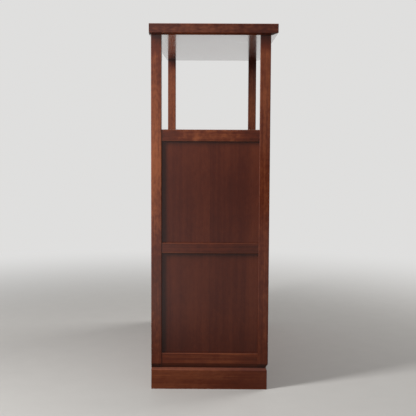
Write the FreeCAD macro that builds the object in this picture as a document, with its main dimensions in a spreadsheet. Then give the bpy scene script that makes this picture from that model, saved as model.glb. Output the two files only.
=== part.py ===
import FreeCAD, Part
import os
import re

import Sketcher

# Display cabinet of lacquered hardwood, in millimetres.
# An open tier stands above two closed tiers, and a plinth carries them.
# The closed tiers have floating panels in grooves and a pair of doors in the middle of the front.
# +Z is up, the front faces -Y, and the origin is on the floor under the middle of the top board.

Vector = FreeCAD.Vector
Rotation = FreeCAD.Rotation
UPRIGHT = Vector(0, 0, 1)
DEPTHWISE = Vector(0, 1, 0)
WIDTHWISE = Vector(1, 0, 0)

# The brass fittings are cut to eight flats
FLATS = 8
HALF_FLAT = 180 / FLATS

# Driving dimensions: name, size, what it measures
DRIVING = (
    ("overall_height", 1045, "floor to the top of the top board"),
    ("post_span_x", 936, "width over the posts"),
    ("post_span_y", 337.5, "depth over the posts"),
    ("post_side", 30, "side of the square posts"),
    ("arris", 1.5, "rounding of the long edges of posts, rails and boards"),
    ("board_thick", 30, "thickness of the top board"),
    ("overhang_front", 19, "top board past the front of the posts"),
    ("overhang_side", 20, "top board past each side of the posts"),
    ("overhang_back", 4.5, "top board past the back of the posts"),
    ("bevel_run", 16, "undercut of the top board, measured inwards"),
    ("bevel_drop", 5, "undercut of the top board, measured up"),
    ("cleat_width", 60, "width of the cleat across each end of the top board"),
    ("tongue_length", 12, "length of the tongues that hold the cleats"),
    ("tongue_thick", 9, "thickness of the tongues that hold the cleats"),
    ("tongue_shoulder", 24, "front and back of the top board to the ends of a tongue"),
    ("post_tenon_side", 14, "side of the square tenon on top of each post"),
    ("post_tenon_length", 15, "length of the tenon on top of each post"),
    ("shelf_level", 751, "floor to the display shelf and the top of the top rails"),
    ("mid_level", 428, "floor to the top of the middle rails"),
    ("low_level", 106, "floor to the top of the bottom rails"),
    ("top_rail_height", 33, "height of the top rails"),
    ("mid_rail_height", 30.5, "height of the middle rails"),
    ("rail_setback", 2, "rails, muntins and doors behind the faces of the posts"),
    ("tenon_cheek", 6, "outer face of a post to the tenons in it"),
    ("tenon_thick", 9, "thickness of the rail tenons"),
    ("tenon_gap", 1, "wood or air left past the end of a tenon"),
    ("foot_inset", 7, "undercut at the foot of the carcass, measured inwards"),
    ("foot_rise", 13, "undercut at the foot of the carcass, measured up"),
    ("panel_recess", 10, "outer face of a post to the face of a panel"),
    ("panel_thick", 7, "thickness of the fixed panels"),
    ("groove_depth", 6.5, "depth of the panel grooves"),
    ("groove_web", 3, "wood left behind a panel groove"),
    ("panel_slack", 0.5, "room for a panel to swell in its grooves"),
    ("shelf_thick", 14, "thickness of the shelf boards"),
    ("shelf_proud", 4, "middle shelf and bottom board above their rails, as door stops"),
    ("shelf_slack", 0.5, "room round the shelf boards"),
    ("plinth_height", 63, "height of the plinth"),
    ("plinth_thick", 20, "thickness of the plinth boards"),
    ("plinth_inset", 2.5, "plinth behind the faces of the posts, front and sides"),
    ("plinth_chamfer_run", 4, "top chamfer of the plinth, measured inwards"),
    ("plinth_chamfer_drop", 7.5, "top chamfer of the plinth, measured down"),
    ("muntin_centre", 220, "middle of the cabinet to the middle of a muntin"),
    ("muntin_width", 28, "width of the muntins"),
    ("muntin_tenon_length", 8, "length of the tenons on the muntins"),
    ("muntin_tenon_thick", 6, "thickness of the tenons on the muntins"),
    ("door_thick", 18, "thickness of the doors"),
    ("door_gap", 1.5, "gap round a door"),
    ("meet_gap", 2, "gap between two doors of a pair"),
    ("stop_gap", 0.5, "back of a closed door to the shelf edge that stops it"),
    ("stile_width", 34, "width of the door stiles"),
    ("door_rail_width", 34, "width of the door rails"),
    ("door_panel_thick", 7, "thickness of the door panels"),
    ("door_tenon_length", 18, "length of the tenons on the door rails"),
    ("door_tenon_shoulder", 6, "edge of a door to the tenon of its rail"),
    ("hinge_inset", 48, "end of a door to the middle of its hinge"),
    ("leaf_width", 20, "width of a hinge leaf"),
    ("leaf_height", 45, "height of a hinge leaf"),
    ("leaf_thick", 1.5, "thickness of a hinge leaf"),
    ("leaf_corner", 4, "clipping of a hinge leaf's outer corners"),
    ("leaf_edge", 0.5, "middle of the hinge to the inner edge of a leaf"),
    ("barrel_radius", 3.2, "middle to corners of the hinge barrel"),
    ("barrel_clearance", 0.3, "air round the hinge barrel and between its knuckles"),
    ("pin_radius", 1.5, "radius of the hinge pin"),
    ("pin_clearance", 0.05, "radial running clearance of the hinge pin"),
    ("pin_head_radius", 2.4, "middle to corners of the heads of the hinge pin"),
    ("pin_head_height", 3, "height of each head of the hinge pin"),
    ("pull_plate_radius", 15, "middle to corners of the plate behind a ring pull"),
    ("pull_plate_thick", 1.5, "thickness of the plate"),
    ("pull_boss_radius", 7, "middle to corners of the raised middle of the plate"),
    ("pull_boss_rise", 1, "height of the raised middle of the plate"),
    ("eye_reach", 6.5, "face of a door's plate to the middle of the eye"),
    ("eye_radius", 4.3, "outer radius of the eye"),
    ("eye_width", 5, "width of the eye along the ring"),
    ("ring_clearance", 0.35, "air between the eye and the ring"),
    ("ring_radius", 12, "radius of the ring, to the middle of its wire"),
    ("ring_wire", 1.8, "middle to corners of the ring's eight-sided wire"),
)

# Places and sizes that follow from the driving dimensions
DERIVED = (
    ("board_width", "post_span_x + 2 * overhang_side"),
    ("board_depth", "post_span_y + overhang_front + overhang_back"),
    ("board_base", "overall_height - board_thick"),
    ("right_x", "post_span_x / 2"),
    ("front_y", "overhang_front - board_depth / 2"),
    ("back_y", "front_y + post_span_y"),
    ("face_y", "front_y + rail_setback"),
    ("inner_width", "post_span_x - 2 * post_side"),
    ("inner_depth", "post_span_y - 2 * post_side"),
    ("post_height", "board_base - plinth_height"),
    ("rail_thick", "post_side - rail_setback"),
    ("tenon_near", "tenon_cheek - rail_setback"),
    ("tenon_length", "post_side - tenon_cheek - tenon_thick - tenon_gap"),
    ("tenon_shoulder", "groove_depth + tenon_gap"),
    ("top_rail_base", "shelf_level - top_rail_height"),
    ("mid_rail_base", "mid_level - mid_rail_height"),
    ("low_rail_height", "low_level - plinth_height"),
    ("upper_clear", "top_rail_base - mid_level"),
    ("lower_clear", "mid_rail_base - low_level"),
    ("groove_near", "panel_recess - rail_setback"),
    ("groove_far", "groove_near + panel_thick"),
    ("rebate_start", "max(door_thick + stop_gap; groove_far + groove_web)"),
    ("rebate_depth", "shelf_thick - shelf_proud"),
    ("muntin_depth", "rebate_start - stop_gap"),
    ("muntin_tenon_near", "(muntin_depth - muntin_tenon_thick) / 2"),
    ("muntin_tenon_side", "groove_depth + tenon_gap"),
    ("muntin_tenon_width", "muntin_width - 2 * muntin_tenon_side"),
    ("opening_half", "muntin_centre - muntin_width / 2"),
    ("bay_width", "inner_width / 2 - muntin_centre - muntin_width / 2"),
    ("door_width", "opening_half - door_gap - meet_gap / 2"),
    ("door_groove_near", "(door_thick - door_panel_thick) / 2"),
    ("door_mortise_height", "door_rail_width - groove_depth - tenon_gap - door_tenon_shoulder"),
    ("hinge_x", "opening_half - door_gap / 2"),
    ("axis_reach", "barrel_radius + barrel_clearance"),
    ("knuckle_height", "leaf_height / 3"),
    ("bore_radius", "pin_radius + pin_clearance"),
    ("pull_x", "(meet_gap + stile_width) / 2"),
    ("wire_flat", f"ring_wire * cos({HALF_FLAT})"),
    ("wire_half_side", f"ring_wire * sin({HALF_FLAT})"),
    ("eye_bore", "ring_wire + ring_clearance + eye_width ^ 2 / (8 * ring_radius)"),
    ("plinth_half", "post_span_x / 2 - plinth_inset"),
    ("plinth_depth", "post_span_y - plinth_inset"),
)

DRIVING_NAMES = {name for name, size, note in DRIVING}
DERIVED_NAMES = {name for name, formula in DERIVED}

doc = FreeCAD.newDocument("display_cabinet")
nodes = []


# Sizes and expressions

def with_sheets(expression, derived_prefix="Layout."):
    """Put the sheet's name before every size that an expression names."""
    def prefixed(match):
        name = match.group()
        if name in DRIVING_NAMES:
            return "Sizes." + name
        if name in DERIVED_NAMES:
            return derived_prefix + name
        return name
    return re.sub(r"[a-z]\w*", prefixed, expression)


def make_sheets():
    """Write the driving dimensions to one sheet and the sizes that follow to another."""
    sizes = doc.addObject("Spreadsheet::Sheet", "Sizes")
    for row, (name, size, note) in enumerate(DRIVING, 1):
        sizes.set(f"A{row}", note)
        sizes.set(f"B{row}", str(size))
        sizes.setAlias(f"B{row}", name)
    layout = doc.addObject("Spreadsheet::Sheet", "Layout")
    for row, (name, formula) in enumerate(DERIVED, 1):
        layout.set(f"A{row}", name)
        layout.set(f"B{row}", "=" + with_sheets(formula, derived_prefix=""))
        layout.setAlias(f"B{row}", name)
    doc.recompute()
    return layout


layout_sheet = make_sheets()


def size_of(expression):
    """The number that an expression comes to."""
    return float(layout_sheet.evalExpression(with_sheets(expression)))


def bind(thing, prop, expression):
    """Tie one property of a document object to an expression of sizes."""
    thing.setExpression(prop, with_sheets(expression))


def bind_place(thing, prop, place):
    """Tie the three coordinates of a placement to expressions."""
    for axis, expression in zip("xyz", place):
        bind(thing, f"{prop}.Base.{axis}", expression)


# Bodies and their features

def new_body(label, place, axis=UPRIGHT, turn=0):
    """A body whose own origin stands at a place, turned about an axis."""
    body = doc.addObject("PartDesign::Body", label)
    body.Label = label
    body.Placement = FreeCAD.Placement(Vector(), Rotation(axis, turn))
    bind_place(body, "Placement", place)
    return body


def attach(body, feature, plane, place, turn=0):
    """Lay a feature on one of its body's planes, turned and moved on that plane."""
    support = next(item for item in body.Origin.OriginFeatures if item.Role == plane)
    feature.AttachmentSupport = [(support, "")]
    feature.MapMode = "FlatFace"
    feature.AttachmentOffset = FreeCAD.Placement(Vector(), Rotation(UPRIGHT, turn))
    bind_place(feature, "AttachmentOffset", place)


def held_coordinate(line, letter, expression):
    """The constraint that holds one coordinate of a line's start, and what its length follows."""
    if expression == "0":
        other_axis = {"X": -2, "Y": -1}[letter]
        return Sketcher.Constraint("PointOnObject", line, 1, other_axis), None
    length = size_of(expression)
    if length > 0:
        return Sketcher.Constraint("Distance" + letter, -1, 1, line, 1, length), expression
    return Sketcher.Constraint("Distance" + letter, line, 1, -1, 1, -length), f"-({expression})"


def outline(body, name, plane, level, points):
    """Sketch a closed outline through corners given as pairs of expressions."""
    sketch = body.newObject("Sketcher::SketchObject", name)
    attach(body, sketch, plane, ("0", "0", level))
    corners = [Vector(size_of(across), size_of(up), 0) for across, up in points]
    count = len(corners)
    sketch.addGeometry([Part.LineSegment(corners[line], corners[(line + 1) % count]) for line in range(count)])
    constraints = [Sketcher.Constraint("Coincident", line, 2, (line + 1) % count, 1) for line in range(count)]
    lengths = {}
    for line, corner in enumerate(points):
        for letter, expression in zip("XY", corner):
            constraint, follows = held_coordinate(line, letter, expression)
            if follows:
                lengths[len(constraints)] = (f"corner{line}{letter.lower()}", follows)
            constraints.append(constraint)
    sketch.addConstraint(constraints)
    for number, (title, follows) in lengths.items():
        sketch.renameConstraint(number, title)
        bind(sketch, "Constraints." + title, follows)
    return sketch


def rectangle(left, right, low, high):
    """The four corners of a rectangle, as pairs of expressions."""
    return ((left, low), (right, low), (right, high), (left, high))


def pad(body, sketch, length):
    """Raise a sketch to a solid."""
    feature = body.newObject("PartDesign::Pad", sketch.Name + "_pad")
    feature.Profile = sketch
    bind(feature, "Length", length)
    return feature


def cut_along(body, sketch, length):
    """Cut a sketched profile away on both sides of its plane."""
    feature = body.newObject("PartDesign::Pocket", sketch.Name + "_cut")
    feature.Profile = sketch
    feature.SideType = "Symmetric"
    bind(feature, "Length", length)
    return feature


def block(body, name, kind, place, size):
    """Add or cut away a block; kind is Additive or Subtractive."""
    feature = body.newObject(f"PartDesign::{kind}Box", name)
    attach(body, feature, "XY_Plane", place)
    for prop, expression in zip(("Length", "Width", "Height"), size):
        bind(feature, prop, expression)
    return feature


def rod(body, name, kind, plane, place, radius, length):
    """Add or cut away a round rod that stands on a plane; kind is Additive or Subtractive."""
    feature = body.newObject(f"PartDesign::{kind}Cylinder", name)
    attach(body, feature, plane, place)
    bind(feature, "Radius", radius)
    bind(feature, "Height", length)
    return feature


def octagon(body, name, plane, place, radius, length):
    """Add an eight-sided prism that stands on a plane, with flats at its sides, top and bottom."""
    feature = body.newObject("PartDesign::AdditivePrism", name)
    attach(body, feature, plane, place, HALF_FLAT)
    feature.Polygon = FLATS
    bind(feature, "Circumradius", radius)
    bind(feature, "Height", length)
    return feature


def picked_edges(base, wanted):
    """Those edges of a feature that a test picks."""
    doc.recompute([base])
    return base, [f"Edge{number}" for number, edge in enumerate(base.Shape.Edges, 1) if wanted(edge)]


def soften(body, base, radius, wanted):
    """Round those edges of a feature that a test picks."""
    feature = body.newObject("PartDesign::Fillet", base.Name + "_round")
    feature.Base = picked_edges(base, wanted)
    bind(feature, "Radius", radius)
    return feature


def bevel(body, base, width, wanted):
    """Chamfer those edges of a feature that a test picks."""
    feature = body.newObject("PartDesign::Chamfer", base.Name + "_bevel")
    feature.Base = picked_edges(base, wanted)
    bind(feature, "Size", width)
    return feature


def runs_along(edge, direction):
    """Whether an edge is straight and lies along a direction."""
    ends = edge.Vertexes
    if len(ends) < 2:
        return False
    span = ends[1].Point - ends[0].Point
    return abs(abs(span.dot(direction)) - edge.Length) < 1e-6


def at_coordinate(edge, letter, size):
    """Whether the whole edge lies at one coordinate."""
    return all(abs(getattr(end.Point, letter) - size) < 1e-6 for end in edge.Vertexes)


def keep(thing):
    """Hand a finished object over as a node of the part."""
    nodes.append(thing)
    return thing


def keep_group(label, members):
    """Hand several separate solids over as one node."""
    group = doc.addObject("Part::Compound", label)
    group.Label = label
    group.Links = members
    return keep(group)


# Posts

POST_CORNERS = {
    "post_front_left": ("-right_x", "front_y", 0, True, True),
    "post_front_right": ("right_x", "front_y", 90, True, True),
    "post_back_right": ("right_x", "back_y", 180, True, False),
    "post_back_left": ("-right_x", "back_y", 270, False, True),
}
RAIL_LEVELS = {
    "top": ("top_rail_base", "top_rail_height", "tenon_shoulder"),
    "middle": ("mid_rail_base", "mid_rail_height", "tenon_shoulder"),
    "bottom": ("plinth_height", "low_rail_height", "foot_rise"),
}
TIERS = {"upper": ("mid_level", "upper_clear"), "lower": ("low_level", "lower_clear")}


def make_post(label, x, y, turn, foot_on_x, foot_on_y):
    """A post, drawn with its outer corner at its origin and its rails on its +X and +Y faces."""
    body = new_body(label, (x, y, "plinth_height"), UPRIGHT, turn)
    square = outline(body, label + "_square", "XY_Plane", "0", rectangle("0", "post_side", "0", "post_side"))
    shaft = pad(body, square, "post_height")
    soften(body, shaft, "arris", lambda edge: runs_along(edge, UPRIGHT))
    inset = "(post_side - post_tenon_side) / 2"
    block(body, label + "_tenon", "Additive", (inset, inset, "post_height"),
          ("post_tenon_side", "post_tenon_side", "post_tenon_length"))
    undercut = (("0", "0"), ("foot_inset", "0"), ("0", "foot_rise"))
    if foot_on_x:
        cut_along(body, outline(body, label + "_foot_x", "XZ_Plane", "0", undercut), "4 * post_side")
    if foot_on_y:
        cut_along(body, outline(body, label + "_foot_y", "YZ_Plane", "0", undercut), "4 * post_side")
    for level, (base, height, low_shoulder) in RAIL_LEVELS.items():
        low = f"{base} - plinth_height + {low_shoulder}"
        tall = f"{height} - {low_shoulder} - tenon_shoulder"
        far = "post_side - tenon_length - tenon_gap / 2"
        deep = "tenon_length + tenon_gap / 2"
        block(body, f"{label}_{level}_mortise_x", "Subtractive", (far, "tenon_cheek", low),
              (deep, "tenon_thick", tall))
        block(body, f"{label}_{level}_mortise_y", "Subtractive", ("tenon_cheek", far, low),
              ("tenon_thick", deep, tall))
    for tier, (level, clear) in TIERS.items():
        low = f"{level} - plinth_height - groove_depth"
        tall = f"{clear} + 2 * groove_depth"
        far = "post_side - groove_depth"
        block(body, f"{label}_{tier}_groove_x", "Subtractive", (far, "panel_recess", low),
              ("groove_depth", "panel_thick", tall))
        block(body, f"{label}_{tier}_groove_y", "Subtractive", ("panel_recess", far, low),
              ("panel_thick", "groove_depth", tall))
    return keep(body)


# Rails, drawn with the outer face at Y = 0 and the length along +X

SIDES = {
    "front": ("-inner_width / 2", "face_y", 0, "inner_width"),
    "right": ("right_x - rail_setback", "front_y + post_side", 90, "inner_depth"),
    "back": ("inner_width / 2", "back_y - rail_setback", 180, "inner_width"),
    "left": ("rail_setback - right_x", "back_y - post_side", 270, "inner_depth"),
}


def rail_profile(level, height, framed, undercut):
    """The section of a rail: panel grooves above and below, shelf rebate inside, undercut at the foot."""
    rebate = "shelf_thick" if level == "top" else "rebate_depth"
    run = "foot_inset - rail_setback"
    points = [(run, "0")] if undercut else [("0", "0")]
    if framed and level != "bottom":
        points += [("groove_near", "0"), ("groove_near", "groove_depth"),
                   ("groove_far", "groove_depth"), ("groove_far", "0")]
    points += [("rail_thick", "0"), ("rail_thick", f"{height} - {rebate}"),
               ("rebate_start", f"{height} - {rebate}"), ("rebate_start", height)]
    if framed and level != "top":
        points += [("groove_far", height), ("groove_far", f"{height} - groove_depth"),
                   ("groove_near", f"{height} - groove_depth"), ("groove_near", height)]
    points += [("0", height)]
    if undercut:
        points += [("0", "foot_rise")]
    return points


def cut_front_grooves(body, label, level, height):
    """Panel grooves over the fixed bays and mortises for the muntins, in a rail of the front."""
    run = "bay_width + groove_depth"
    edges = {"top": ("0",), "middle": ("0", f"{height} - groove_depth"), "bottom": (f"{height} - groove_depth",)}
    for number, low in enumerate(edges[level]):
        for side, start in (("left", "0"), ("right", f"inner_width - ({run})")):
            block(body, f"{label}_groove_{side}_{number}", "Subtractive", (start, "groove_near", low),
                  (run, "panel_thick", "groove_depth"))
    deep = "muntin_tenon_length + tenon_gap / 2"
    edges = {"top": ("0",), "middle": ("0", f"{height} - ({deep})"), "bottom": (f"{height} - ({deep})",)}
    for number, low in enumerate(edges[level]):
        for side, sign in (("left", "-"), ("right", "+")):
            start = f"inner_width / 2 {sign} muntin_centre - muntin_tenon_width / 2"
            block(body, f"{label}_mortise_{side}_{number}", "Subtractive", (start, "muntin_tenon_near", low),
                  ("muntin_tenon_width", "muntin_tenon_thick", deep))


def make_rail(side, level):
    """One rail between two posts, with a tenon at each end."""
    x, y, turn, length = SIDES[side]
    base, height, low_shoulder = RAIL_LEVELS[level]
    label = f"{side}_rail_{level}" if side in ("front", "back") else f"side_rail_{level}_{side}"
    body = new_body(label, (x, y, base), UPRIGHT, turn)
    undercut = level == "bottom" and side != "back"
    section = rail_profile(level, height, side != "front", undercut)
    bar = pad(body, outline(body, label + "_section", "YZ_Plane", "0", section), length)
    soften(body, bar, "arris", lambda edge: runs_along(edge, WIDTHWISE) and at_coordinate(edge, "y", 0))
    tall = f"{height} - {low_shoulder} - tenon_shoulder"
    for end, start in (("near", "-tenon_length"), ("far", length)):
        block(body, f"{label}_tenon_{end}", "Additive", (start, "tenon_near", low_shoulder),
              ("tenon_length", "tenon_thick", tall))
    if side == "front":
        cut_front_grooves(body, label, level, height)
    return keep(body)


# Panels, each resting on the floor of its lower groove

def make_panel(label, place, turn, clear_width, tier):
    """A flat panel that floats in grooves; drawn with its outer face at Y = 0."""
    level, clear = TIERS[tier]
    x, y = place
    body = new_body(label, (x, y, f"{level} - groove_depth"), UPRIGHT, turn)
    reach = "groove_depth - panel_slack"
    sheet = rectangle(f"-({reach})", f"{clear_width} + {reach}", "0", f"{clear} + 2 * groove_depth - panel_slack")
    face = outline(body, label + "_face", "XZ_Plane", "-panel_thick", sheet)
    pad(body, face, "panel_thick")
    return keep(body)


def make_panels(tier):
    """Side, back and front panels of one closed tier."""
    make_panel(f"side_panel_{tier}_left", ("panel_recess - right_x", "back_y - post_side"), 270,
               "inner_depth", tier)
    make_panel(f"side_panel_{tier}_right", ("right_x - panel_recess", "front_y + post_side"), 90,
               "inner_depth", tier)
    make_panel(f"back_panel_{tier}", ("inner_width / 2", "back_y - panel_recess"), 180, "inner_width", tier)
    front = "front_y + panel_recess"
    make_panel(f"front_panel_{tier}_left", ("-inner_width / 2", front), 0, "bay_width", tier)
    make_panel(f"front_panel_{tier}_right", ("inner_width / 2 - bay_width", front), 0, "bay_width", tier)


# Boards

def make_slab(label, left, right, joint):
    """A stretch of the top board: its top edges rounded except at a joint, its front edge undercut."""
    body = new_body(label, ("-board_width / 2", "-board_depth / 2", "board_base"))
    plan = outline(body, label + "_plan", "XY_Plane", "0", rectangle(left, right, "0", "board_depth"))
    slab = pad(body, plan, "board_thick")
    top = size_of("board_thick")
    joints = [size_of(place) for place in joint]
    soften(body, slab, "arris", lambda edge: at_coordinate(edge, "z", top)
           and not any(at_coordinate(edge, "x", place) for place in joints))
    wedge = (("0", "0"), ("bevel_run", "0"), ("0", "bevel_drop"))
    cut_along(body, outline(body, label + "_front_bevel", "YZ_Plane", "0", wedge), "4 * board_width")
    return body


def make_cleat(side, left, right, inner, outer, inwards):
    """The cleat across one end of the top board, grooved for a tongue and mortised for two posts."""
    label = f"top_cleat_{side}"
    body = make_slab(label, left, right, (inner,))
    wedge = ((outer, "0"), (f"{outer} {inwards} bevel_run", "0"), (outer, "bevel_drop"))
    cut_along(body, outline(body, label + "_end_bevel", "XZ_Plane", "0", wedge), "4 * board_depth")
    deep = "tongue_length + tenon_gap / 2"
    block(body, label + "_groove", "Subtractive",
          (inner if inwards == "-" else f"{inner} - ({deep})", "tongue_shoulder", "(board_thick - tongue_thick) / 2"),
          (deep, "board_depth - 2 * tongue_shoulder", "tongue_thick"))
    shoulder = "(post_side - post_tenon_side) / 2"
    start = f"overhang_side + {shoulder}"
    x = f"{outer} - ({start}) - post_tenon_side" if inwards == "-" else start
    for end, y in (("front", f"overhang_front + {shoulder}"),
                   ("back", f"board_depth - overhang_back - {shoulder} - post_tenon_side")):
        block(body, f"{label}_mortise_{end}", "Subtractive", (x, y, "0"),
              ("post_tenon_side", "post_tenon_side", "post_tenon_length + tenon_gap"))
    return body


def make_top_board():
    """The top board: long planks with a cleat on a tongue across each end, undercut at the front and the ends."""
    label = "top_planks"
    left, right = "cleat_width", "board_width - cleat_width"
    planks = make_slab(label, left, right, (left, right))
    for end, start in (("left", f"{left} - tongue_length"), ("right", right)):
        block(planks, f"{label}_tongue_{end}", "Additive",
              (start, "tongue_shoulder", "(board_thick - tongue_thick) / 2"),
              ("tongue_length", "board_depth - 2 * tongue_shoulder", "tongue_thick"))
    cleats = [make_cleat("left", "0", left, left, "0", "+"),
              make_cleat("right", right, "board_width", right, "board_width", "-")]
    return keep_group("top_board", [planks] + cleats)


def make_shelf(label, base):
    """A shelf board that lies in the rebates of four rails, notched round the posts."""
    body = new_body(label, ("0", "(front_y + back_y) / 2", base))
    wide = "post_span_x / 2 - rail_setback - rebate_start - shelf_slack"
    deep = "post_span_y / 2 - rail_setback - rebate_start - shelf_slack"
    notch_x = "inner_width / 2 - shelf_slack"
    notch_y = "inner_depth / 2 - shelf_slack"
    quarter = ((wide, notch_y), (notch_x, notch_y), (notch_x, deep))
    points = []
    for mirror_x, mirror_y in ((1, 1), (-1, 1), (-1, -1), (1, -1)):
        corner = [(x if mirror_x > 0 else f"-({x})", y if mirror_y > 0 else f"-({y})") for x, y in quarter]
        points += corner if mirror_x * mirror_y > 0 else corner[::-1]
    pad(body, outline(body, label + "_outline", "XY_Plane", "0", points), "shelf_thick")
    return keep(body)


# Plinth, with mitred corners at the front

def make_plinth_board(label, place, turn, plan, chamfered):
    """One plinth board, drawn with its outer face at Y = 0."""
    x, y = place
    body = new_body(label, (x, y, "0"), UPRIGHT, turn)
    pad(body, outline(body, label + "_plan", "XY_Plane", "0", plan), "plinth_height")
    if chamfered:
        low = "plinth_height - plinth_chamfer_drop"
        wedge = (("0", low), ("plinth_chamfer_run", "plinth_height"), ("0", "plinth_height"))
        cut_along(body, outline(body, label + "_chamfer", "YZ_Plane", "0", wedge), "4 * plinth_half")
    return keep(body)


def make_plinth():
    """Front, side and back boards of the plinth."""
    wide = "2 * plinth_half"
    front = "front_y + plinth_inset"
    deep = "plinth_depth"
    mitred_both = (("0", "0"), (wide, "0"), (f"{wide} - plinth_thick", "plinth_thick"),
                   ("plinth_thick", "plinth_thick"))
    mitred_start = (("0", "0"), (deep, "0"), (deep, "plinth_thick"), ("plinth_thick", "plinth_thick"))
    mitred_end = (("0", "0"), (deep, "0"), (f"{deep} - plinth_thick", "plinth_thick"), ("0", "plinth_thick"))
    between = rectangle("0", f"{wide} - 2 * plinth_thick", "0", "plinth_thick")
    make_plinth_board("plinth_front", ("-plinth_half", front), 0, mitred_both, True)
    make_plinth_board("plinth_right", ("plinth_half", front), 90, mitred_start, True)
    make_plinth_board("plinth_back", ("plinth_half - plinth_thick", "back_y"), 180, between, False)
    make_plinth_board("plinth_left", ("-plinth_half", "back_y"), 270, mitred_end, True)


# Front of the closed tiers

def make_muntin(tier, side, sign):
    """An upright between a fixed panel and a door, tenoned into the rails above and below."""
    level, clear = TIERS[tier]
    label = f"front_muntin_{tier}_{side}"
    body = new_body(label, (f"{sign}muntin_centre - muntin_width / 2", "face_y", level))
    plan = rectangle("0", "muntin_width", "0", "muntin_depth")
    bar = pad(body, outline(body, label + "_plan", "XY_Plane", "0", plan), clear)
    soften(body, bar, "arris", lambda edge: runs_along(edge, UPRIGHT) and at_coordinate(edge, "y", 0))
    for end, start in (("low", "-muntin_tenon_length"), ("high", clear)):
        block(body, f"{label}_tenon_{end}", "Additive", ("muntin_tenon_side", "muntin_tenon_near", start),
              ("muntin_tenon_width", "muntin_tenon_thick", "muntin_tenon_length"))
    start = "0" if side == "left" else "muntin_width - groove_depth"
    block(body, label + "_groove", "Subtractive", (start, "groove_near", "0"),
          ("groove_depth", "panel_thick", clear))
    return keep(body)


def make_stile(label, x, y, z, turn, height):
    """A door stile, drawn with its outer edge at X = 0 and its groove and mortises on the +X edge."""
    body = new_body(label, (x, y, z), UPRIGHT, turn)
    plan = rectangle("0", "stile_width", "0", "door_thick")
    bar = pad(body, outline(body, label + "_plan", "XY_Plane", "0", plan), height)
    bevel(body, bar, "arris / 2", lambda edge: runs_along(edge, UPRIGHT))
    low = "door_rail_width - groove_depth"
    block(body, label + "_groove", "Subtractive", ("stile_width - groove_depth", "door_groove_near", low),
          ("groove_depth", "door_panel_thick", f"{height} - 2 * ({low})"))
    for end, start in (("low", "door_tenon_shoulder"),
                       ("high", f"{height} - door_tenon_shoulder - door_mortise_height")):
        deep = "door_tenon_length + tenon_gap"
        block(body, f"{label}_mortise_{end}", "Subtractive", (f"stile_width - ({deep})", "door_groove_near", start),
              (deep, "door_panel_thick", "door_mortise_height"))
    return body


def make_door_rail(label, x, y, z, turn):
    """A door rail, drawn as the lower one: its groove is in the upper edge."""
    body = new_body(label, (x, y, z), DEPTHWISE, turn)
    length = "door_width - 2 * stile_width"
    floor = "door_rail_width - groove_depth"
    far = "door_groove_near + door_panel_thick"
    section = (("0", "0"), ("door_thick", "0"), ("door_thick", "door_rail_width"), (far, "door_rail_width"),
               (far, floor), ("door_groove_near", floor), ("door_groove_near", "door_rail_width"),
               ("0", "door_rail_width"))
    bar = pad(body, outline(body, label + "_section", "YZ_Plane", "0", section), length)
    thick = size_of("door_thick")
    bevel(body, bar, "arris / 2", lambda edge: runs_along(edge, WIDTHWISE)
          and (at_coordinate(edge, "y", 0) or at_coordinate(edge, "y", thick)))
    for end, start in (("near", "-door_tenon_length"), ("far", length)):
        block(body, f"{label}_tenon_{end}", "Additive", (start, "door_groove_near", "door_tenon_shoulder"),
              ("door_tenon_length", "door_panel_thick", "door_mortise_height"))
    return body


def make_door(tier, side):
    """The frame and the panel of one door."""
    level, clear = TIERS[tier]
    where = f"{tier}_{side}"
    base = f"{level} + door_gap"
    height = f"{clear} - 2 * door_gap"
    left = "door_gap - opening_half" if side == "left" else "meet_gap / 2"
    right = f"{left} + door_width"
    back = "face_y + door_thick"
    members = [
        make_stile(f"stile_{where}_a", left, "face_y", base, 0, height),
        make_stile(f"stile_{where}_b", right, back, base, 180, height),
        make_door_rail(f"door_rail_{where}_low", f"{left} + stile_width", "face_y", base, 0),
        make_door_rail(f"door_rail_{where}_high", f"{right} - stile_width", "face_y", f"{base} + {height}", 180),
    ]
    keep_group(f"door_frame_{where}", members)
    label = f"door_panel_{where}"
    sill = "door_rail_width - groove_depth"
    body = new_body(label, (f"{left} + stile_width", "face_y + door_groove_near", f"{base} + {sill}"))
    reach = "groove_depth - panel_slack"
    sheet = rectangle(f"-({reach})", f"door_width - 2 * stile_width + {reach}", "0",
                      f"{height} - 2 * ({sill}) - panel_slack")
    pad(body, outline(body, label + "_face", "XZ_Plane", "-door_panel_thick", sheet), "door_panel_thick")
    keep(body)


# Hinges, drawn round the middle of the pin at the level of the door's face, for a door on the +X side

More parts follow.
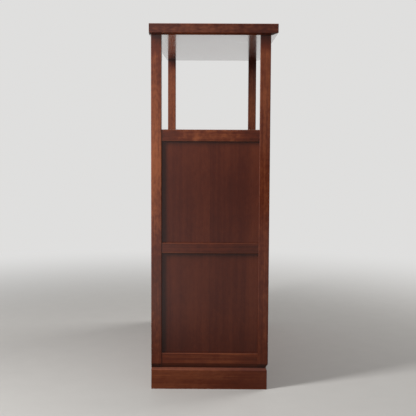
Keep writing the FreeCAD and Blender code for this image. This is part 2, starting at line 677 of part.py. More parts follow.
def make_leaf(label, place, turn, on_door):
    """One hinge leaf with its knuckles: the door leaf has the middle one, the fixed leaf the outer two."""
    body = new_body(label, place, DEPTHWISE, turn)
    inner = "leaf_edge" if on_door else "-leaf_edge"
    outer = "leaf_edge + leaf_width" if on_door else "-(leaf_edge + leaf_width)"
    left, right = (inner, outer) if on_door else (outer, inner)
    plate = rectangle(left, right, "-leaf_height / 2", "leaf_height / 2")
    leaf = pad(body, outline(body, label + "_plate", "XZ_Plane", "0", plate), "leaf_thick")
    edge_x = size_of(outer)
    bevel(body, leaf, "leaf_corner", lambda edge: runs_along(edge, DEPTHWISE) and at_coordinate(edge, "x", edge_x))
    end = "leaf_height / 2"
    half = "knuckle_height / 2"
    play = "barrel_clearance / 2"
    if on_door:
        knuckles = [(f"{play} - {half}", f"knuckle_height - 2 * {play}")]
        reliefs = [(f"-{end}", f"knuckle_height + {play}"), (f"{half} - {play}", f"knuckle_height + {play}")]
        start = "0"
    else:
        knuckles = [(f"-{end}", f"knuckle_height - {play}"), (f"{half} + {play}", f"knuckle_height - {play}")]
        reliefs = [(f"-{half} - {play}", f"knuckle_height + 2 * {play}")]
        start = "-axis_reach"
    for number, (low, tall) in enumerate(reliefs):
        block(body, f"{label}_relief{number}", "Subtractive", (start, "-leaf_thick", low),
              ("axis_reach", "leaf_thick", tall))
    for number, (low, tall) in enumerate(knuckles):
        octagon(body, f"{label}_knuckle{number}", "XY_Plane", ("0", "-axis_reach", low), "barrel_radius", tall)
    rod(body, label + "_bore", "Subtractive", "XY_Plane", ("0", "-axis_reach", "-leaf_height"),
        "bore_radius", "2 * leaf_height")
    return body


def make_pin(label, place, turn):
    """A hinge pin with an eight-sided head at each end."""
    body = new_body(label, place, DEPTHWISE, turn)
    half = "leaf_height / 2"
    tip = size_of(f"{half} + pin_head_height")
    rod(body, label + "_shaft", "Additive", "XY_Plane", ("0", "0", f"-{half}"), "pin_radius", "leaf_height")
    octagon(body, label + "_lower_head", "XY_Plane", ("0", "0", f"-{half} - pin_head_height"),
            "pin_head_radius", "pin_head_height")
    upper = octagon(body, label + "_upper_head", "XY_Plane", ("0", "0", half), "pin_head_radius", "pin_head_height")
    bevel(body, upper, "pin_head_height / 4", lambda edge: at_coordinate(edge, "z", tip)
          or at_coordinate(edge, "z", -tip))
    return body


def make_hinges():
    """Two hinges for each door."""
    fixed = []
    pins = []
    for tier, (level, clear) in TIERS.items():
        for side, x, turn in (("left", "-hinge_x", 0), ("right", "hinge_x", 180)):
            moving = []
            for end, z in (("low", f"{level} + door_gap + hinge_inset"),
                           ("high", f"{level} + {clear} - door_gap - hinge_inset")):
                where = f"{tier}_{side}_{end}"
                place = (x, "face_y", z)
                fixed.append(make_leaf("fixed_leaf_" + where, place, turn, False))
                moving.append(make_leaf("door_leaf_" + where, place, turn, True))
                pins.append(make_pin("pin_" + where, (x, "face_y - axis_reach", z), turn))
            keep_group(f"hinge_door_leaves_{tier}_{side}", moving)
    keep_group("hinge_fixed_leaves", fixed)
    keep_group("hinge_pins", pins)


# Ring pulls

def make_pull(tier, side, sign):
    """The plate with its eye, and the ring that hangs from it, on the meeting stile of a door."""
    level, clear = TIERS[tier]
    x = f"{sign}pull_x"
    z = f"{level} + {clear} / 2"
    label = f"pull_plate_{tier}_{side}"
    body = new_body(label, (x, "face_y", z))
    plate = octagon(body, label + "_plate", "XZ_Plane", ("0", "0", "0"), "pull_plate_radius", "pull_plate_thick")
    plate_front = -size_of("pull_plate_thick")
    bevel(body, plate, "pull_plate_thick / 2", lambda edge: at_coordinate(edge, "y", plate_front))
    crown = "pull_plate_thick + pull_boss_rise"
    boss = octagon(body, label + "_boss", "XZ_Plane", ("0", "0", "0"), "pull_boss_radius", crown)
    boss_front = -size_of(crown)
    bevel(body, boss, "pull_boss_rise / 2", lambda edge: at_coordinate(edge, "y", boss_front))
    reach = "pull_plate_thick + eye_reach"
    block(body, label + "_neck", "Additive", ("-eye_width / 2", f"-({reach})", "-eye_radius / 2"),
          ("eye_width", reach, "eye_radius"))
    rod(body, label + "_eye", "Additive", "YZ_Plane", (f"-({reach})", "0", "-eye_width / 2"),
        "eye_radius", "eye_width")
    rod(body, label + "_hole", "Subtractive", "YZ_Plane", (f"-({reach})", "0", "-eye_width"),
        "eye_bore", "2 * eye_width")
    keep(body)
    make_ring(f"pull_ring_{tier}_{side}", (x, f"face_y - ({reach})", f"{z} - ring_radius"))


def make_ring(label, place):
    """A ring of wire forged to eight flats, drawn round its own middle with its axis along Y."""
    body = new_body(label, place)
    quarter = (("wire_flat", "wire_half_side"), ("wire_half_side", "wire_flat"))
    section = [(f"ring_radius + {across}", up) for across, up in quarter]
    section += [(f"ring_radius - {across}", up) for across, up in quarter[::-1]]
    section += [(across, f"-{up}") for across, up in section[::-1]]
    sketch = outline(body, label + "_section", "XY_Plane", "0", section)
    turned = body.newObject("PartDesign::Revolution", label + "_turned")
    turned.Profile = sketch
    turned.ReferenceAxis = (sketch, ["V_Axis"])
    return keep(body)


# The whole cabinet

def make_cabinet():
    """Every piece of the cabinet, from the posts to the pulls."""
    for label, corner in POST_CORNERS.items():
        make_post(label, *corner)
    for side in SIDES:
        for level in RAIL_LEVELS:
            make_rail(side, level)
    for tier in TIERS:
        make_panels(tier)
    make_top_board()
    make_shelf("display_shelf", "shelf_level - shelf_thick")
    make_shelf("middle_shelf", "mid_level - rebate_depth")
    make_shelf("bottom_board", "low_level - rebate_depth")
    make_plinth()
    for tier in TIERS:
        for side, sign in (("left", "-"), ("right", "")):
            make_muntin(tier, side, sign)
            make_door(tier, side)
            make_pull(tier, side, sign)
    make_hinges()
    doc.recompute()


def check_document():
    """Stop if any object failed or any node has no sound shape."""
    for thing in doc.Objects:
        if "Invalid" in thing.State or "Error" in thing.State:
            raise RuntimeError(f"{thing.Label} failed: {thing.State}")
    for node in nodes:
        if node.Shape.isNull() or not node.Shape.isValid():
            raise RuntimeError(f"{node.Label} has no sound shape")


def write_nodes():
    """Write each node to its own file."""
    os.makedirs("parts", exist_ok=True)
    for node in nodes:
        node.Shape.exportStep(f"parts/{node.Label}.step")
        solids = node.Shape.Solids
        print(f"{node.Label}: {len(solids)} solid(s), {sum(solid.Volume for solid in solids) / 1000:.1f} cm3")


make_cabinet()
check_document()
write_nodes()
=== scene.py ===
"""Looks of a lacquered display cabinet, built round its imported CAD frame.

The cabinet's left side faces the camera, so its front is on the right of the picture.
"""
import logging
import math
import random
from dataclasses import dataclass, field
from enum import Enum
from typing import Callable, Iterable, Optional, Sequence, Union

import bpy
from mathutils import Matrix, Vector


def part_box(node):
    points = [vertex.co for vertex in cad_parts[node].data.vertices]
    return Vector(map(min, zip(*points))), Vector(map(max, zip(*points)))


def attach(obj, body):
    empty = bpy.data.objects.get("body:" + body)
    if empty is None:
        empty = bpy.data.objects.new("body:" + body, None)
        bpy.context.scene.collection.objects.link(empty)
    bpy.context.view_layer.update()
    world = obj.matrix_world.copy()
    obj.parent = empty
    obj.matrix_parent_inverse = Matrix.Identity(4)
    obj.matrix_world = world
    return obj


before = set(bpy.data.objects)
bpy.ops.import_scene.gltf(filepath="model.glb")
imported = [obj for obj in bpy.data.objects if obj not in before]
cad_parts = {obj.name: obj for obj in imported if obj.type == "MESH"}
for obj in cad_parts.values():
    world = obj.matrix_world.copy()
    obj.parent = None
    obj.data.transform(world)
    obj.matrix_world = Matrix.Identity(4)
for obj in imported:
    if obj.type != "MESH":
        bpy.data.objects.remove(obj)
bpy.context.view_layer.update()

log = logging.getLogger("display_cabinet")

TIERS = ("upper", "lower")
SIDES = ("left", "right")
ENDS = ("front", "back")
BAYS = tuple(f"{tier}_{side}" for tier in TIERS for side in SIDES)
BLACK = (0.0, 0.0, 0.0)

Number = Union[float, "Flow"]
Pair = tuple[float, float]
Colour = tuple[float, float, float]
Triple = tuple[float, float, float]


def from_hex(code: str) -> Colour:
    """Turn a written colour into the linear values that shaders use.

    Args:
        code: Six hexadecimal digits.

    Returns:
        Red, green and blue, linear.
    """
    parts = [int(code[start:start + 2], 16) / 255 for start in (0, 2, 4)]
    return tuple(part / 12.92 if part <= 0.04045 else ((part + 0.055) / 1.055) ** 2.4 for part in parts)


class Grain(Enum):
    """Which way a board's grain runs: along, across and through the board, as letters of the axes."""

    WIDTH = "xyz"
    WIDTH_UPRIGHT = "xzy"
    DEPTH = "yxz"
    DEPTH_UPRIGHT = "yzx"
    HEIGHT_FACING_SIDE = "zyx"
    HEIGHT_FACING_FRONT = "zxy"


# Shader nodes; the numbers are a Mix node's sockets for colours

MIX_FACTOR = 0
MIX_FIRST = 6
MIX_SECOND = 7
MIX_RESULT = 2


class Flow:
    """One socket of a material's nodes, with arithmetic that adds Math nodes."""

    def __init__(self, graph: "Graph", socket: bpy.types.NodeSocket) -> None:
        """Keep the socket and the graph that it belongs to."""
        self.graph = graph
        self.socket = socket

    def __add__(self, other: Number) -> "Flow":
        """Sum of two values."""
        return self.graph.maths("ADD", self, other)

    def __radd__(self, other: Number) -> "Flow":
        """Sum of two values, the number first."""
        return self.graph.maths("ADD", other, self)

    def __sub__(self, other: Number) -> "Flow":
        """Difference of two values."""
        return self.graph.maths("SUBTRACT", self, other)

    def __rsub__(self, other: Number) -> "Flow":
        """Difference of two values, the number first."""
        return self.graph.maths("SUBTRACT", other, self)

    def __mul__(self, other: Number) -> "Flow":
        """Product of two values."""
        return self.graph.maths("MULTIPLY", self, other)

    def __rmul__(self, other: Number) -> "Flow":
        """Product of two values, the number first."""
        return self.graph.maths("MULTIPLY", other, self)

    def __truediv__(self, other: Number) -> "Flow":
        """Quotient of two values."""
        return self.graph.maths("DIVIDE", self, other)

    def smooth_step(self, low: float, high: float) -> "Flow":
        """Rise from 0 to 1, easing at both ends.

        Args:
            low: The value that gives 0.
            high: The value that gives 1.

        Returns:
            The eased value.
        """
        ramp = self.graph.add("ShaderNodeMapRange", {"interpolation_type": "SMOOTHSTEP"},
                              {"Value": self, "From Min": low, "From Max": high})
        return Flow(self.graph, ramp.outputs["Result"])

    def swing(self, share: Number) -> "Flow":
        """Noise turned into a change of tone that is as much up as down."""
        return (self - 0.5) * (share * 2)


class Graph:
    """The node tree of one material, or of the world."""

    def __init__(self, owner: Union[bpy.types.Material, bpy.types.World], output: str) -> None:
        """Start the owner's nodes with nothing but the output.

        Args:
            owner: A new material or world.
            output: The output node's type.
        """
        self.owner = owner
        owner.use_nodes = True
        self.tree = owner.node_tree
        self.tree.nodes.clear()
        self.output = self.tree.nodes.new(output)

    @classmethod
    def material(cls, name: str) -> "Graph":
        """The empty graph of a new material."""
        return cls(bpy.data.materials.new(name), "ShaderNodeOutputMaterial")

    @classmethod
    def world(cls, name: str) -> "Graph":
        """The empty graph of a new world."""
        return cls(bpy.data.worlds.new(name), "ShaderNodeOutputWorld")

    def add(self, kind: str, settings: Optional[dict] = None,
            inputs: Optional[dict] = None) -> bpy.types.Node:
        """Add a node, set it up and connect it.

        Args:
            kind: The node's type.
            settings: Its properties, set before the sockets; "stops" gives a ramp's places and colours.
            inputs: Values or flows for its sockets, by name or number.

        Returns:
            The new node.
        """
        node = self.tree.nodes.new(kind)
        for name, value in (settings or {}).items():
            if name == "stops":
                set_stops(node.color_ramp, value)
            else:
                setattr(node, name, value)
        for key, value in (inputs or {}).items():
            if isinstance(value, Flow):
                self.tree.links.new(value.socket, node.inputs[key])
            elif isinstance(value, bpy.types.NodeSocket):
                self.tree.links.new(value, node.inputs[key])
            else:
                node.inputs[key].default_value = value
        return node

    def maths(self, operation: str, *values: Number) -> Flow:
        """One Math node.

        Args:
            operation: The Math node's operation.
            values: Numbers or flows.

        Returns:
            The result.
        """
        node = self.add("ShaderNodeMath", {"operation": operation}, dict(enumerate(values)))
        return Flow(self, node.outputs[0])

    def place(self, kind: str = "Object") -> dict[str, Flow]:
        """The point's three coordinates.

        Args:
            kind: Which of the Texture Coordinate node's outputs gives them.

        Returns:
            The coordinates by letter.
        """
        coordinates = self.add("ShaderNodeTexCoord")
        split = self.add("ShaderNodeSeparateXYZ", None, {0: coordinates.outputs[kind]})
        return {letter: Flow(self, split.outputs[letter.upper()]) for letter in "xyz"}

    def ray(self, kind: str) -> Flow:
        """1 for light rays of one kind, 0 for the others."""
        path = self.add("ShaderNodeLightPath")
        return Flow(self, path.outputs[f"Is {kind} Ray"])

    def noise(self, point: Sequence[Number], detail: float = 2.0, roughness: float = 0.5) -> Flow:
        """Soft noise at a point.

        Args:
            point: Three numbers or flows, already scaled.
            detail: How many finer layers are added.
            roughness: How strong the finer layers are.

        Returns:
            Noise of about 0.2 to 0.8.
        """
        vector = self.add("ShaderNodeCombineXYZ", None, dict(enumerate(point)))
        texture = self.add("ShaderNodeTexNoise", None, {"Vector": vector.outputs[0], "Scale": 1.0,
                                                        "Detail": detail, "Roughness": roughness})
        return Flow(self, texture.outputs["Fac"])

    def ramp(self, value: Flow, stops: Iterable[tuple[float, Colour]]) -> bpy.types.NodeSocket:
        """The colours of a ramp."""
        node = self.add("ShaderNodeValToRGB", {"stops": stops}, {"Fac": value})
        return node.outputs["Color"]

    def blend(self, factor: Number, first: object, second: object) -> bpy.types.NodeSocket:
        """Mix two colours.

        Args:
            factor: Share of the second colour.
            first: Colour or socket.
            second: Colour or socket.

        Returns:
            The mixed colour.
        """
        inputs = {MIX_FACTOR: factor, MIX_FIRST: opaque(first), MIX_SECOND: opaque(second)}
        node = self.add("ShaderNodeMix", {"data_type": "RGBA"}, inputs)
        return node.outputs[MIX_RESULT]

    def bump(self, height: Flow, strength: float, depth: float) -> bpy.types.NodeSocket:
        """A bumped normal."""
        node = self.add("ShaderNodeBump", None, {"Height": height, "Strength": strength, "Distance": depth})
        return node.outputs["Normal"]

    def surface(self, inputs: dict) -> bpy.types.Material:
        """Finish the material with a Principled shader.

        Args:
            inputs: Values or flows for the shader's sockets.

        Returns:
            The finished material.
        """
        shader = self.add("ShaderNodeBsdfPrincipled", None, inputs)
        self.close(shader)
        return self.owner

    def close(self, shader: bpy.types.Node) -> None:
        """Lead a shader to the output."""
        self.tree.links.new(shader.outputs[0], self.output.inputs["Surface"])


def opaque(colour: object) -> object:
    """A written colour with its alpha, or a socket as it is."""
    return (*colour, 1.0) if isinstance(colour, tuple) else colour


def set_stops(ramp: bpy.types.ColorRamp, stops: Iterable[tuple[float, Colour]]) -> None:
    """Give a colour ramp its stops.

    Args:
        ramp: The ramp of a new node, which has two stops.
        stops: Places and colours, from left to right.
    """
    stops = list(stops)
    while len(ramp.elements) < len(stops):
        ramp.elements.new(1.0)
    for element, (position, colour) in zip(ramp.elements, stops):
        element.position = position
        element.color = opaque(colour)


# Finishes

@dataclass(frozen=True)
class Lacquer:
    """Stained hardwood under clear lacquer; a share says how strongly a layer changes the tone."""

    name: str
    dark: Colour
    middle: Colour
    light: Colour
    roughness: float
    coat: float = 1.0
    coat_roughness: float = 0.10
    specular: float = 0.10
    relief: float = 0.10
    ring_pitch: float = 0.011
    ring_share: float = 0.10
    streak_share: float = 0.32
    streak_count: float = 170.0
    thread_share: float = 0.16
    mottle_share: float = 0.30


FRAME_LACQUER = Lacquer("frame_lacquer", from_hex("3a1207"), from_hex("662b17"), from_hex("a05834"), 0.36)
PANEL_LACQUER = Lacquer("panel_lacquer", from_hex("351108"), from_hex("521f11"), from_hex("74361f"), 0.40,
                        coat_roughness=0.21, ring_share=0.05, streak_share=0.15, streak_count=70.0,
                        thread_share=0.05)
BOARD_LACQUER = Lacquer("board_lacquer", from_hex("360f06"), from_hex("5e2715"), from_hex("a45c3c"), 0.30,
                        coat_roughness=0.12, relief=0.03, streak_share=0.20)


@dataclass(frozen=True)
class Stretch:
    """A stretch that is lighter, as sapwood is, or darker if its gain is negative; many are painted light
    and shade.
    """

    where: float
    reach: float
    gain: float
    core: float = 0.1

    def over(self, place: Flow) -> Flow:
        """What the stretch adds to the tone at a place."""
        away = place.graph.maths("ABSOLUTE", place - self.where) / self.reach
        return (1 - away.smooth_step(self.core, 1.0)) * self.gain


@dataclass(frozen=True)
class Layer:
    """A layer of noise in the wood: how often it changes in a metre along and across the grain."""

    along: float
    across: float
    detail: float
    roughness: float = 0.5

    def over(self, along: Flow, across: Flow, deep: Flow, shift: Flow) -> Flow:
        """The layer's noise at a place.

        Args:
            along: Place along the grain.
            across: Place across the plank.
            deep: Place through the board.
            shift: What sets this plank apart from others.

        Returns:
            The noise.
        """
        point = (along * self.along + shift, across * self.across, deep * self.across)
        return along.graph.noise(point, self.detail, self.roughness)


@dataclass(frozen=True)
class Species:
    """The structure of the wood, which all boards share; a detail gives a noise's layers and roughness."""

    wander: Layer = Layer(1.5, 9.0, 2.0)
    mottle: Layer = Layer(3.2, 8.0, 3.0, 0.55)
    figure: Layer = Layer(24.0, 26.0, 3.0)
    curl: Layer = Layer(75.0, 130.0, 2.0)
    pore: Layer = Layer(40.0, 1200.0, 1.0)
    streak_detail: Pair = (3.0, 0.6)
    thread_detail: Pair = (2.0, 0.6)
    thread_change: float = 7.0
    thread_fineness: float = 3.2
    plank_shift: float = 3.71
    plank_change: float = 5.3
    shift_range: Pair = (0, 40)
    pith_range: Pair = (-0.35, 0.35)
    plank_range: Pair = (0, 9)
    ring_wander: Pair = (0.035, 0.03)
    late_begins: Pair = (0.35, 0.85)
    late_ends: Pair = (0.88, 1.0)
    figure_slant: Pair = (0.25, 0.2)
    curl_wander: float = 0.02
    pore_from: Pair = (0.60, 0.72)
    pore_stain: float = 0.35
    seam_stain: float = 0.45
    seam_width: float = 0.0007
    # Arrises are lightened for wear and as a painted highlight along their rounding.
    edge_wear_and_highlight_reach: Pair = (0.0006, 0.0035)
    edge_wear_and_highlight_uneven: float = 0.004
    streak_rise: float = 0.35
    pore_sink: float = 0.8
    late_sink: float = 0.25
    relief_depth: float = 0.0004
    mottle_matt: float = 0.14
    pore_matt: float = 0.12
    rub_matt: float = 0.08


HARDWOOD = Species()


@dataclass(frozen=True)
class Board:
    """How one board was cut from its tree and stained, with its painted light, shade and edge highlights."""

    grain: Grain
    tone: float
    plank: float = 1.0
    plank_variety: float = 0.0
    plank_tones: tuple[float, ...] = ()
    pith_depth: float = 0.09
    streaks: float = 1.0
    streak_change: float = 2.2
    lean: float = 0.0
    figure: float = 0.08
    curl: float = 0.10
    # Share of the lighter colour on the arrises: wear and a painted highlight.
    edge_wear_and_highlight: float = 0.26
    frame_edges: Optional[Pair] = None
    field_calm: float = 0.0
    stretches: tuple[Stretch, ...] = ()
    strips: tuple[Stretch, ...] = ()


class Timber:
    """The wood of one board, as shader nodes."""

    def __init__(self, node: str, lacquer: Lacquer, board: Board) -> None:
        """Lay out the board's grain and its planks.

        Args:
            node: The CAD node's name, which also seeds what is left to chance.
            lacquer: Colours and gloss.
            board: How the board was cut.
        """
        chance = random.Random(node)
        self.lacquer = lacquer
        self.board = board
        self.graph = Graph.material(f"{lacquer.name}_{node}")
        point = self.graph.place()
        _, cross_axis, deep_axis = board.grain.value
        self.along, self.cross, self.deep = (point[axis] for axis in board.grain.value)
        self.strip_place = self.cross
        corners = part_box(node)
        cross_low, cross_high = (getattr(corner, cross_axis) for corner in corners)
        deep_low, deep_high = (getattr(corner, deep_axis) for corner in corners)
        self.edge = self.graph.maths("MAXIMUM", self.inside(self.cross, cross_low, cross_high),
                                     self.inside(self.deep, deep_low, deep_high))
        self.liveliness: Number = 1.0
        if board.frame_edges:
            self.turn_grain(*board.frame_edges)
        self.plank = min(board.plank, cross_high - cross_low)
        self.number = self.graph.maths("FLOOR", (self.cross - cross_low) / self.plank)
        self.local = self.cross - cross_low - (self.number + 0.5) * self.plank
        self.shift = self.number * HARDWOOD.plank_shift + chance.uniform(*HARDWOOD.shift_range)
        self.pith_cross = chance.uniform(*HARDWOOD.pith_range) * self.plank
        self.pith_deep = (deep_low + deep_high) / 2 + board.pith_depth * chance.choice((-1, 1))
        plank_place = self.number * HARDWOOD.plank_change + chance.uniform(*HARDWOOD.plank_range)
        self.plank_tone = self.graph.noise((plank_place, 0.0, 0.0), 0.0) - 0.5

    def inside(self, place: Flow, low: float, high: float) -> Flow:
        """How far a place is from the nearer of two faces."""
        return self.graph.maths("MINIMUM", place - low, high - place)

    def turn_grain(self, inner_low: float, inner_high: float) -> None:
        """Turn the grain between two stiles or cleats, and calm its figure there.

        Args:
            inner_low: Where the field begins, across the board.
            inner_high: Where it ends.
        """
        middle = (inner_low + inner_high) / 2
        half = (inner_high - inner_low) / 2
        crossing = self.graph.maths("LESS_THAN", self.graph.maths("ABSOLUTE", self.cross - middle), half)
        change = crossing * (self.cross - self.along)
        self.along = self.along + change
        self.cross = self.cross - change
        self.liveliness = 1 - crossing * self.board.field_calm

    def layer(self, layer: Layer) -> Flow:
        """The noise of one layer."""
        return layer.over(self.along, self.local, self.deep, self.shift)

    def late_wood(self, wander: Flow) -> Flow:
        """The dark part of each year's growth.

        Args:
            wander: How the pith wanders along the board.

        Returns:
            1 in late wood, 0 elsewhere.
        """
        sideways, inwards = HARDWOOD.ring_wander
        aside = self.local - self.pith_cross + wander * sideways
        below = self.deep - self.pith_deep + wander * inwards
        radius = self.graph.maths("SQRT", aside * aside + below * below)
        year = self.graph.maths("FRACT", radius / self.lacquer.ring_pitch)
        return year.smooth_step(*HARDWOOD.late_begins) * (1 - year.smooth_step(*HARDWOOD.late_ends))

    def streak(self) -> Flow:
        """Streaks along the grain, which may lean across the board.

        Returns:
            The noise of the streaks.
        """
        layer = Layer(self.board.streak_change, self.lacquer.streak_count, *HARDWOOD.streak_detail)
        slide = self.along * self.board.lean
        return layer.over(self.along, self.local + slide, self.deep + slide, self.shift)

    def thread(self) -> Flow:
        """Fine threads between the streaks."""
        fineness = self.lacquer.streak_count * HARDWOOD.thread_fineness
        return self.layer(Layer(HARDWOOD.thread_change, fineness, *HARDWOOD.thread_detail))

    def figure(self) -> Flow:
        """Broad figure that slants across the grain."""
        aslant, inwards = HARDWOOD.figure_slant
        return HARDWOOD.figure.over(self.along, self.local + self.along * aslant,
                                    self.deep + self.along * inwards, self.shift)

    def tone(self, streak: Flow, mottle: Flow, wander: Flow, late: Flow) -> Flow:
        """How light the wood is, with the painted light and shade of the board's stretches and strips.

        Args:
            streak: Streaks along the grain.
            mottle: Soft patches.
            wander: How the pith wanders along the board.
            late: Late wood.

        Returns:
            0 for the dark stain, 1 for the light one.
        """
        board, lacquer = self.board, self.lacquer
        curled = self.local + wander * HARDWOOD.curl_wander
        curl = HARDWOOD.curl.over(self.along, curled, self.deep, self.shift)
        tone = (board.tone + mottle.swing(lacquer.mottle_share)
                + streak.swing(lacquer.streak_share * board.streaks)
                + self.thread().swing(lacquer.thread_share)
                + self.figure().swing(self.liveliness * board.figure)
                + curl.swing(self.liveliness * board.curl)
                - late * (lacquer.ring_share * board.streaks)
                + self.plank_tone * board.plank_variety)
        for index, offset in enumerate(board.plank_tones):
            tone = tone + self.graph.maths("COMPARE", self.number, float(index), 0.5) * offset
        # Stretches and strips add the wood's own tone and painted light and shade.
        for stretch in board.stretches:
            tone = tone + stretch.over(self.along)
        for strip in board.strips:
            tone = tone + strip.over(self.strip_place)
        return tone

    def material(self) -> bpy.types.Material:
        """Build the board's material.

        Returns:
            The new material.
        """
        graph, lacquer = self.graph, self.lacquer
        wander = self.layer(HARDWOOD.wander) - 0.5
        late = self.late_wood(wander)
        streak = self.streak()
        mottle = self.layer(HARDWOOD.mottle)
        pore = self.layer(HARDWOOD.pore).smooth_step(*HARDWOOD.pore_from)
        tone = self.tone(streak, mottle, wander, late)
        stain = graph.ramp(tone, ((0.0, lacquer.dark), (0.5, lacquer.middle), (1.0, lacquer.light)))
        # Lighten the arrises towards the light stain: partly wear, partly a painted highlight along the
        # rounded edges.
        uneven = (mottle - 0.5) * HARDWOOD.edge_wear_and_highlight_uneven
        worn_and_highlit_edge = 1 - (self.edge + uneven).smooth_step(*HARDWOOD.edge_wear_and_highlight_reach)
        worn_and_highlit = graph.blend(worn_and_highlit_edge * self.board.edge_wear_and_highlight, stain, lacquer.light)
        to_seam = self.plank / 2 - graph.maths("ABSOLUTE", self.local)
        seam = 1 - to_seam.smooth_step(0.0, HARDWOOD.seam_width)
        stained = graph.maths("MAXIMUM", pore * HARDWOOD.pore_stain, seam * HARDWOOD.seam_stain)
        height = streak * HARDWOOD.streak_rise - pore * HARDWOOD.pore_sink - late * HARDWOOD.late_sink - seam
        matt = ((mottle - 0.5) * HARDWOOD.mottle_matt + pore * HARDWOOD.pore_matt
                + worn_and_highlit_edge * HARDWOOD.rub_matt)
        return graph.surface({
            "Base Color": graph.blend(stained, worn_and_highlit, lacquer.dark),
            "Roughness": lacquer.roughness + matt,
            "Specular IOR Level": lacquer.specular,
            "Coat Weight": lacquer.coat,
            "Coat Roughness": lacquer.coat_roughness,
            "Normal": graph.bump(height, lacquer.relief, HARDWOOD.relief_depth),
        })


@dataclass(frozen=True)
class AgedBrass:
    """Brass that has dulled to a soft brown in patches and has fine, level brush marks."""

    bright: Colour = (0.71, 0.47, 0.19)
    dull: Colour = (0.30, 0.18, 0.07)
    tarnish_scale: float = 90.0
    tarnish_detail: Pair = (4.0, 0.6)
    brush_scale: Triple = (300.0, 300.0, 2600.0)
    patina_from: Pair = (0.42, 0.66)
    patina_share: float = 0.55
    roughness: float = 0.26
    patina_matt: float = 0.22
    brush_matt: float = 0.12
    tarnish_rise: float = 0.6
    relief: float = 0.08
    relief_depth: float = 0.0002

    def material(self) -> bpy.types.Material:
        """Build the metal's material.

        Returns:
            The new material.
        """
        graph = Graph.material("aged_brass")
        point = graph.place()
        tarnish = graph.noise([point[letter] * self.tarnish_scale for letter in "xyz"], *self.tarnish_detail)
        brushed = graph.noise([point[letter] * scale for letter, scale in zip("xyz", self.brush_scale)])
        patina = tarnish.smooth_step(*self.patina_from)
        height = brushed + tarnish * self.tarnish_rise
        return graph.surface({
            "Base Color": graph.blend(patina * self.patina_share, self.bright, self.dull),
            "Metallic": 1.0,
            "Roughness": self.roughness + patina * self.patina_matt + (brushed - 0.5) * self.brush_matt,
            "Normal": graph.bump(height, self.relief, self.relief_depth),
        })


def dress(node: str, material: bpy.types.Material) -> None:
    """Put a material into every slot of a CAD node.

    Args:
        node: The node's name.
        material: The material to use.
    """
    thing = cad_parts[node]
    if not thing.material_slots:
        thing.data.materials.append(material)
    for slot in thing.material_slots:
        slot.material = material
    log.info("dressed %s with %s", node, material.name)


def dress_timber(node: str, lacquer: Lacquer, board: Board) -> None:
    """Give one CAD node its own board of lacquered wood."""
    dress(node, Timber(node, lacquer, board).material())


# Modelling by hand

def deselect_all() -> None:
    """Leave nothing selected, so that the next operator acts on one object alone."""
    if bpy.context.object and bpy.context.object.mode != "OBJECT":
        bpy.ops.object.mode_set(mode="OBJECT")
    bpy.ops.object.select_all(action="DESELECT")


def pick_edges(piece: bpy.types.Object, wanted: Callable[[Vector, Vector], bool]) -> None:
    """Select the edges of a piece that a test picks, and go to edit mode.

    Args:
        piece: The active object.
        wanted: A test of an edge's two ends.
    """
    bpy.ops.object.mode_set(mode="EDIT")
    bpy.ops.mesh.select_mode(type="EDGE")
    bpy.ops.mesh.select_all(action="DESELECT")
    bpy.ops.object.mode_set(mode="OBJECT")
    corners = piece.data.vertices
    for edge in piece.data.edges:
        edge.select = wanted(*(corners[number].co for number in edge.vertices))
    bpy.ops.object.mode_set(mode="EDIT")


@dataclass
class DomeNail:
    """A brass nail with a domed head, modelled once and copied."""

    radius: float = 0.0016
    height: float = 0.0009
    sunk: float = 0.0003
    sides: int = 14
    rounding: int = 3
    dome_share: float = 0.9
    smooth_below: float = math.radians(50)
    slack: float = 1e-5

    def model(self, name: str) -> bpy.types.Object:
        """Model one head that stands on the floor of its own frame.

        Args:
            name: Name of the new object.

        Returns:
            The head, pointing up.
        """
        deselect_all()
        tall = self.height + self.sunk
        bpy.ops.mesh.primitive_cylinder_add(vertices=self.sides, radius=self.radius, depth=tall,
                                            location=(0, 0, tall / 2 - self.sunk))
        head = bpy.context.object
        head.name = name
        bpy.ops.object.transform_apply(location=True, rotation=True, scale=True)
        top = self.height - self.slack
        pick_edges(head, lambda first, second: first.z > top and second.z > top)
        bpy.ops.mesh.bevel(offset=self.height * self.dome_share, segments=self.rounding, profile=0.5,
                           affect="EDGES")
        bpy.ops.mesh.select_all(action="SELECT")
        bpy.ops.mesh.normals_make_consistent(inside=False)
        bpy.ops.object.mode_set(mode="OBJECT")
        bpy.ops.object.shade_smooth_by_angle(angle=self.smooth_below)
        return head

    def drive(self, name: str, places: Sequence[Triple], body: str,
              material: bpy.types.Material) -> None:
        """Copy the head to several places on surfaces that face the front, and join the copies.

        Args:
            name: Name of the joined piece.
            places: Where the heads meet their surface.
            body: The body that they ride on.
            material: Their metal.
        """
        master = self.model(name)
        copies = [master]
        for _ in places[1:]:
            copy = master.copy()
            copy.data = master.data.copy()
            bpy.context.scene.collection.objects.link(copy)
            copies.append(copy)
        for head, place in zip(copies, places):
            head.matrix_world = Matrix.Translation(place) @ Matrix.Rotation(math.radians(90), 4, "X")
        deselect_all()
        for head in copies:
            head.select_set(True)
        bpy.context.view_layer.objects.active = master
        bpy.ops.object.join()
        bpy.ops.object.transform_apply(location=True, rotation=True, scale=True)
        master.data.materials.append(material)
        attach(master, body)
        log.info("made %s: %d nail heads on %s", name, len(places), body)


# Sub-assemblies

@dataclass(frozen=True)
class Cut:
    """How one post, or the rails at one level, differ in tone from the frame; stretches are own tone and
    painted light.
    """

    tone: float
    figure: float
    curl: float
    stretches: tuple[Stretch, ...]


